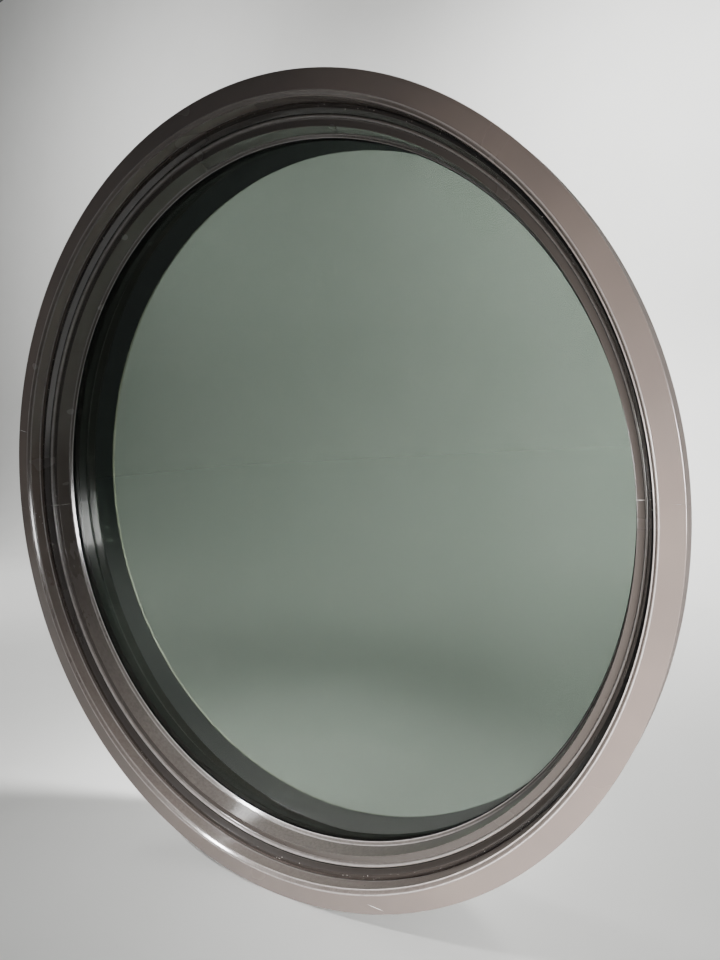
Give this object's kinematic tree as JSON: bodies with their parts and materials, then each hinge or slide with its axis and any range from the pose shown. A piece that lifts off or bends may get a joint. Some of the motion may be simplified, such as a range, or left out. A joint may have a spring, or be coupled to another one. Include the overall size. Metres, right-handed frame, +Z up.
{
  "type": "round window",
  "caption": "Large round fixed window: bent metal casing and stepped covers around a double-glazed round pane, with a deep dark wood frame and a light casing on the room side.",
  "frame": {"origin": "centre of the ring of fixing holes, in the plane where the fixing tabs lie on the wall", "axes": "+Y from outdoors into the room along the ring's axis, +Z up, +X to the right seen from outdoors; the covers' joints are at 3 and 9 o'clock"},
  "size_m": [1.92, 0.304, 1.9196],
  "materials": {
    "bronze_paint": "satin powder coat, warm bronze grey",
    "dark_wood": "dark green-black paint, satin",
    "ivory_wood": "ivory paint, satin",
    "plywood": "bare plywood",
    "tinted_glass": "green-grey tinted float glass",
    "clear_glass": "clear float glass",
    "spacer_foam": "dark structural foam",
    "black_rubber": "matt black rubber",
    "galvanised_steel": "galvanised",
    "bare_aluminium": "mill finish"
  },
  "bodies": {
    "root": {"casing_upper": "bronze_paint", "casing_lower": "bronze_paint", "frame_cover_upper": "bronze_paint", "frame_cover_lower": "bronze_paint", "glazing_cover_upper": "bronze_paint", "glazing_cover_lower": "bronze_paint", "wood_frame_left": "dark_wood", "wood_frame_right": "dark_wood", "frame_tongues": "plywood", "glazing_bead_upper": "dark_wood", "glazing_bead_lower": "dark_wood", "interior_casing_upper": "ivory_wood", "interior_casing_lower": "ivory_wood", "outer_pane": "tinted_glass", "inner_pane": "clear_glass", "glazing_spacer": "spacer_foam", "glazing_gasket": "black_rubber", "setting_blocks": "black_rubber", "edge_blocks": "black_rubber", "fixing_tabs": "galvanised_steel", "casing_keys": "bare_aluminium", "frame_cover_keys": "bare_aluminium", "glazing_cover_keys": "bare_aluminium", "casing_clips": "galvanised_steel"}
  },
  "joints": []
}
